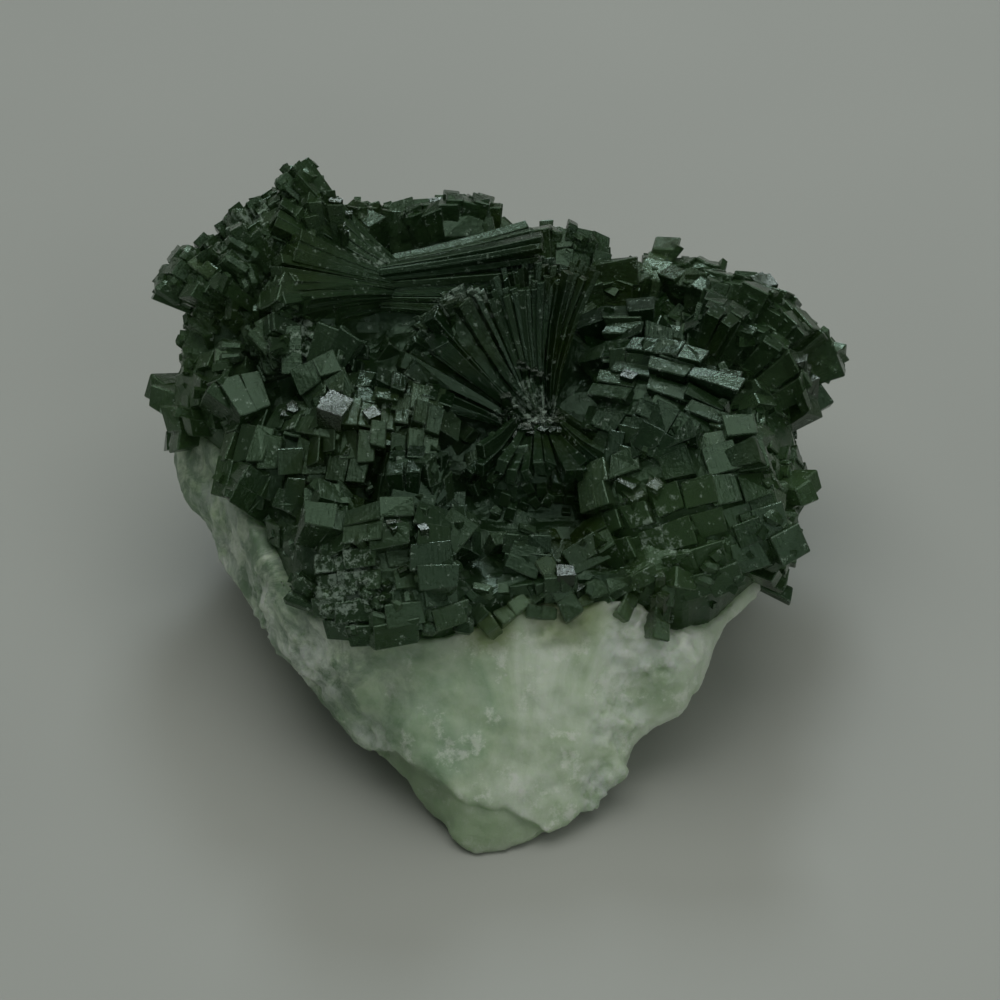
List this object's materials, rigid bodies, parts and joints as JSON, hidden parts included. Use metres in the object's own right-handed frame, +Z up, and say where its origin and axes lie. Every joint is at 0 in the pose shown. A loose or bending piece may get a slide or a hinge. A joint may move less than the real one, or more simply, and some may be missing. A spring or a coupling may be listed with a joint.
{
  "type": "rough prehnite",
  "caption": "Arrow-shaped rough stone of pale massive prehnite with an uneven crust of dark green fan-shaped and tabular crystals on top, for display or study.",
  "frame": {"origin": "centre of the bounding box on the plane that the stone rests on, the plane of its flat broken base", "axes": "+Z up from the base, -Y towards the pointed front, +X to the right as seen from the front"},
  "size_m": [0.0521, 0.0518, 0.03],
  "materials": {
    "pale_prehnite": "waxy broken mineral, cloudy and slightly translucent",
    "dark_prehnite": "glassy crystal faces, translucent at thin edges"
  },
  "bodies": {
    "root": {"stone": "pale_prehnite", "crystal_crust": "dark_prehnite"}
  },
  "joints": []
}
